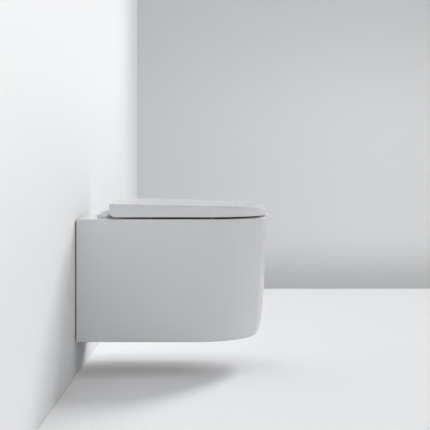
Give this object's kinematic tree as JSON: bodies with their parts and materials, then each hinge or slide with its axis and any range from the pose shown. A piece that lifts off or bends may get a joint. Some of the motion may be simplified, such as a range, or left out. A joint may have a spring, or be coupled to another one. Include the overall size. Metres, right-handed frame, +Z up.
{
  "type": "wall hung toilet",
  "caption": "Wall hung toilet: box-sided D-shaped ceramic pan with rimless bowl, seat ring and wrap-over lid on soft-close lift-off hinges.",
  "frame": {"origin": "on the finished wall, midway between the two wall studs", "axes": "+Y out of the pan's back into the wall, so the bowl stands out towards -Y; +Z up; +X across"},
  "size_m": [0.36, 0.527, 0.3789],
  "materials": {
    "glaze": "glossy white glaze",
    "seat_white": "glossy white duroplast",
    "chrome": "polished",
    "steel": "zinc plated",
    "brass": "turned",
    "nylon": "moulded",
    "button_grey": "moulded",
    "damper_grey": "moulded",
    "black_rubber": "matt",
    "clear_gasket": "soft translucent",
    "bumper_rubber": "soft translucent white",
    "mat_foam": "closed-cell foam"
  },
  "bodies": {
    "pan": {"ceramic_pan": "glaze", "sound_mat": "mat_foam", "inlet_seal": "black_rubber", "stud_sleeves": "nylon", "stud_washers": "steel", "stud_nuts": "steel", "hinge_gaskets": "clear_gasket", "hinge_base_left": "steel", "hinge_base_right": "steel", "hinge_cap_left": "chrome", "hinge_cap_right": "chrome", "hinge_post_left": "steel", "hinge_post_right": "steel", "hinge_bolts": "steel", "bolt_washers": "steel", "expansion_sleeves": "black_rubber", "sleeve_nuts": "brass"},
    "seat_carrier": {"hinge_block_left": "nylon", "hinge_block_right": "nylon", "post_clips": "steel", "hinge_pin_left": "steel", "hinge_pin_right": "steel"},
    "button_left": {"release_button_left": "button_grey"},
    "button_right": {"release_button_right": "button_grey"},
    "ring": {"seat_ring": "seat_white", "ring_damper": "damper_grey", "ring_bush": "nylon", "ring_bumpers": "bumper_rubber"},
    "lid": {"lid": "seat_white", "lid_damper": "damper_grey", "lid_bush": "nylon", "lid_bumpers": "bumper_rubber"}
  },
  "joints": [
    {"name": "seat_lift", "type": "slide", "parent": "pan", "child": "seat_carrier", "axis": [0, 0, 1], "range_m": [0, 0.06], "deforming": ["post_clips"]},
    {"name": "ring_hinge", "type": "hinge", "parent": "seat_carrier", "child": "ring", "pos_m": [0, -0.107, 0.107], "axis": [-1, 0, 0], "range_deg": [0, 95]},
    {"name": "lid_hinge", "type": "hinge", "parent": "ring", "child": "lid", "pos_m": [0, -0.107, 0.107], "axis": [1, 0, 0], "range_deg": [-100, 0]},
    {"name": "button_left_press", "type": "slide", "parent": "seat_carrier", "child": "button_left", "axis": [0, -1, 0], "range_m": [0, 0.0015], "stiffness_N_per_m": 600, "springref_m": -0.002},
    {"name": "button_right_press", "type": "slide", "parent": "seat_carrier", "child": "button_right", "axis": [0, -1, 0], "range_m": [0, 0.0015], "stiffness_N_per_m": 600, "springref_m": -0.002}
  ]
}
